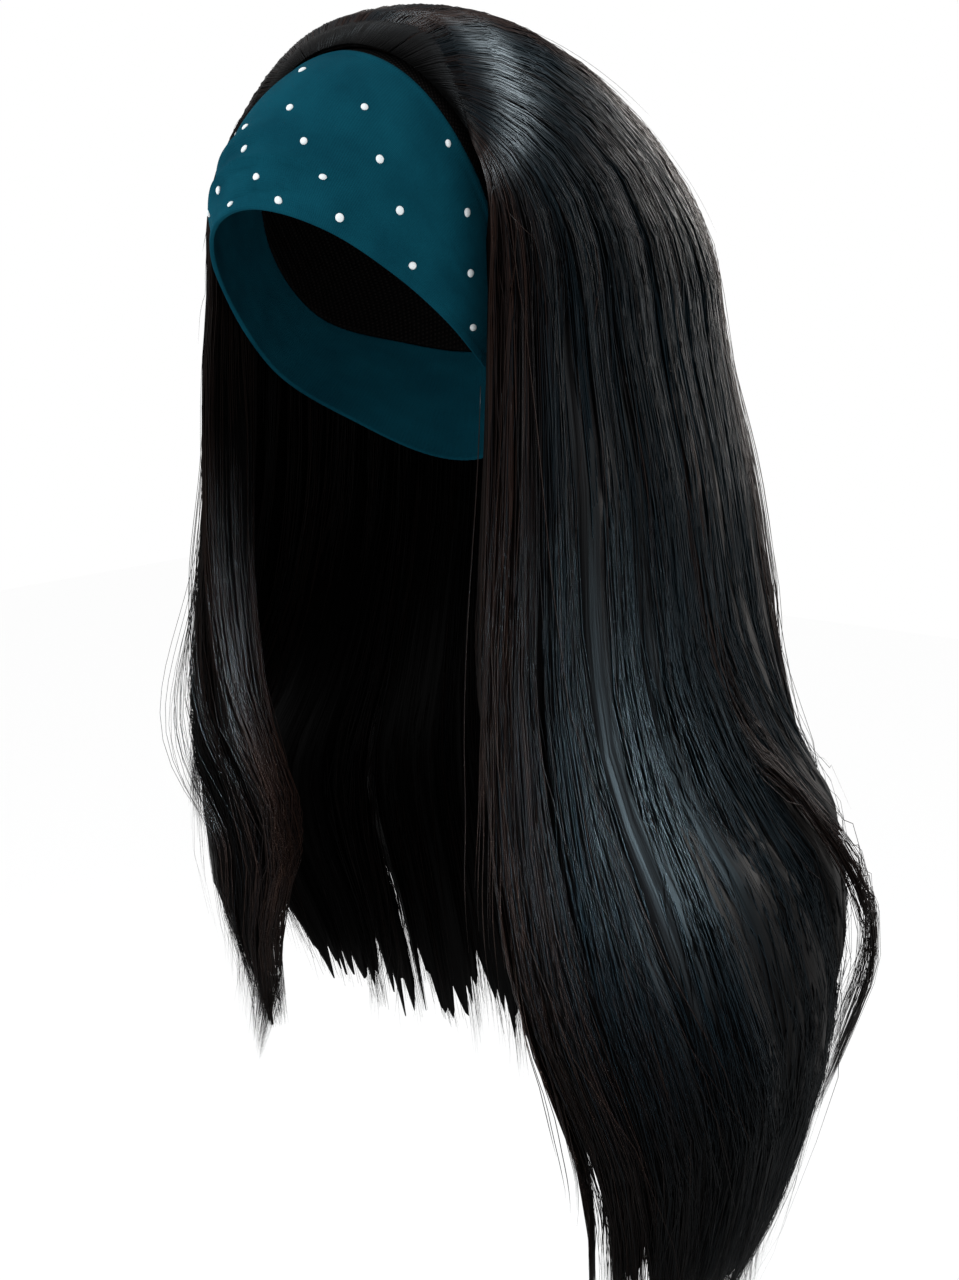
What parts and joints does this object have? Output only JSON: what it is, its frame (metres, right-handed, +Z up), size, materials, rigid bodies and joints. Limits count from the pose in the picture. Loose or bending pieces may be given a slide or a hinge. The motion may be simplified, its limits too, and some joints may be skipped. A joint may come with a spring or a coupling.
{
  "type": "headband wig",
  "caption": "Long dark wig with a soft wave, sewn to a thin cap behind a wide dotted jersey headband, worn over the head.",
  "frame": {"origin": "inside of the cap at the crown of the head", "axes": "+Z up, the face side towards -Y, the wearer's left towards +X"},
  "size_m": [0.3726, 0.3366, 0.724],
  "materials": {
    "hair": "dark brown-black strands with a soft cool sheen",
    "headband": "matte stretch jersey, dark teal",
    "dots": "small raised pale dots",
    "cap": "thin matte knit"
  },
  "bodies": {
    "root": {"headband": "headband", "wig_cap": "cap", "hair_left": "hair", "hair_back": "hair", "hair_right": "hair"}
  },
  "joints": []
}
